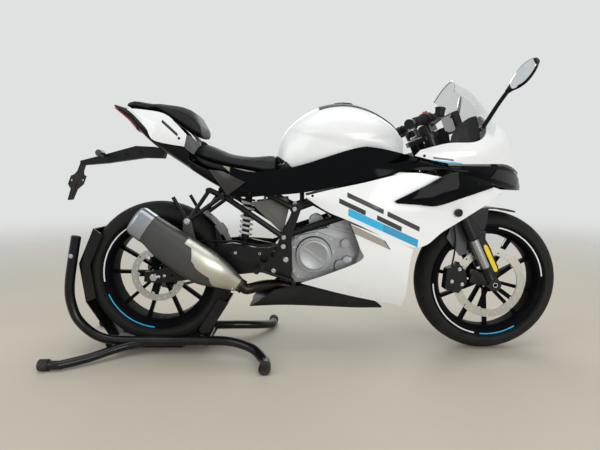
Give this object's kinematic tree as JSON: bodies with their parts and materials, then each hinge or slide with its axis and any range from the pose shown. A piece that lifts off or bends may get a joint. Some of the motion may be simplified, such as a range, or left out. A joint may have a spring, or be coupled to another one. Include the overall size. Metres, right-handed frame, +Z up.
{
  "type": "faired sport motorcycle on a rear wheel chock",
  "caption": "Fully faired sport motorcycle with clip-on bars, cast wheels, side stand and twin seats, held upright by a tubular wheel chock under its rear tyre.",
  "frame": {"origin": "middle of the box on the floor", "axes": "+X forward, +Y to the rider's left, +Z up"},
  "size_m": [2.046, 0.7456, 1.1147],
  "materials": {
    "frame_black": "satin",
    "engine_metal": "cast",
    "exhaust_steel": "brushed",
    "muffler_grey": "satin",
    "shock_grey": "gloss",
    "paint_white": "gloss",
    "paint_black": "gloss",
    "trim_grey": "satin",
    "seat_cover": "grained",
    "red_lens": "gloss",
    "amber_lens": "gloss",
    "clear_lens": "gloss",
    "screen": "clear",
    "chain_steel": "oiled",
    "caliper_metal": "anodised",
    "bright_steel": "polished",
    "disc_steel": "brushed",
    "fork_black": "gloss",
    "grip_rubber": "matte",
    "foot_rubber": "matte",
    "tyre_rubber": "matte",
    "wheel_black": "gloss",
    "chock_steel": "gloss"
  },
  "bodies": {
    "chassis": {"main_frame": "frame_black", "subframe": "frame_black", "swingarm": "frame_black", "rear_shock": "shock_grey", "engine": "engine_metal", "exhaust_header": "exhaust_steel", "muffler": "muffler_grey", "muffler_trim": "exhaust_steel", "radiator": "frame_black", "footrests": "frame_black", "side_covers": "trim_grey", "tank": "paint_white", "tank_cover": "trim_grey", "rider_seat": "seat_cover", "pillion_seat": "seat_cover", "tail_fairing": "paint_white", "undertail": "paint_black", "tail_light": "red_lens", "indicators": "amber_lens", "frame_covers": "paint_black", "side_fairings": "paint_white", "wing_panels": "paint_black", "upper_fairing": "paint_white", "nose_trim": "paint_black", "headlights": "clear_lens", "windscreen": "screen", "cockpit": "trim_grey", "belly_pan": "paint_black", "mirrors": "paint_black", "hugger": "frame_black", "chain": "chain_steel", "rear_caliper": "caliper_metal", "rear_axle": "bright_steel", "chock_frame": "chock_steel", "chock_cradle": "chock_steel", "chock_feet": "foot_rubber"},
    "steering": {"fork_tubes": "fork_black", "fork_sliders": "bright_steel", "fork_feet": "frame_black", "triple_clamps": "frame_black", "handlebars": "fork_black", "grips": "grip_rubber", "controls": "fork_black", "front_fender": "paint_black", "front_caliper": "caliper_metal", "front_axle": "bright_steel"},
    "front_wheel": {"front_tyre": "tyre_rubber", "front_rim": "wheel_black", "front_disc": "disc_steel"},
    "rear_wheel": {"rear_tyre": "tyre_rubber", "rear_rim": "wheel_black", "rear_disc": "disc_steel", "rear_sprocket": "chain_steel"},
    "side_stand": {"side_stand": "frame_black"}
  },
  "joints": [
    {"name": "steering_turn", "type": "hinge", "parent": "chassis", "child": "steering", "pos_m": [0.50418, 0, 0.70629], "axis": [-0.4226, 0, 0.9063], "range_deg": [-28, 28]},
    {"name": "front_wheel_spin", "type": "hinge", "parent": "steering", "child": "front_wheel", "pos_m": [0.73, 0, 0.293], "axis": [0, 1, 0], "continuous": true},
    {"name": "rear_wheel_spin", "type": "hinge", "parent": "chassis", "child": "rear_wheel", "pos_m": [-0.63, 0, 0.325], "axis": [0, 1, 0], "continuous": true},
    {"name": "side_stand_swing", "type": "hinge", "parent": "chassis", "child": "side_stand", "pos_m": [-0.095, 0.16, 0.335], "axis": [0, -1, 0], "range_deg": [0, 100]}
  ]
}
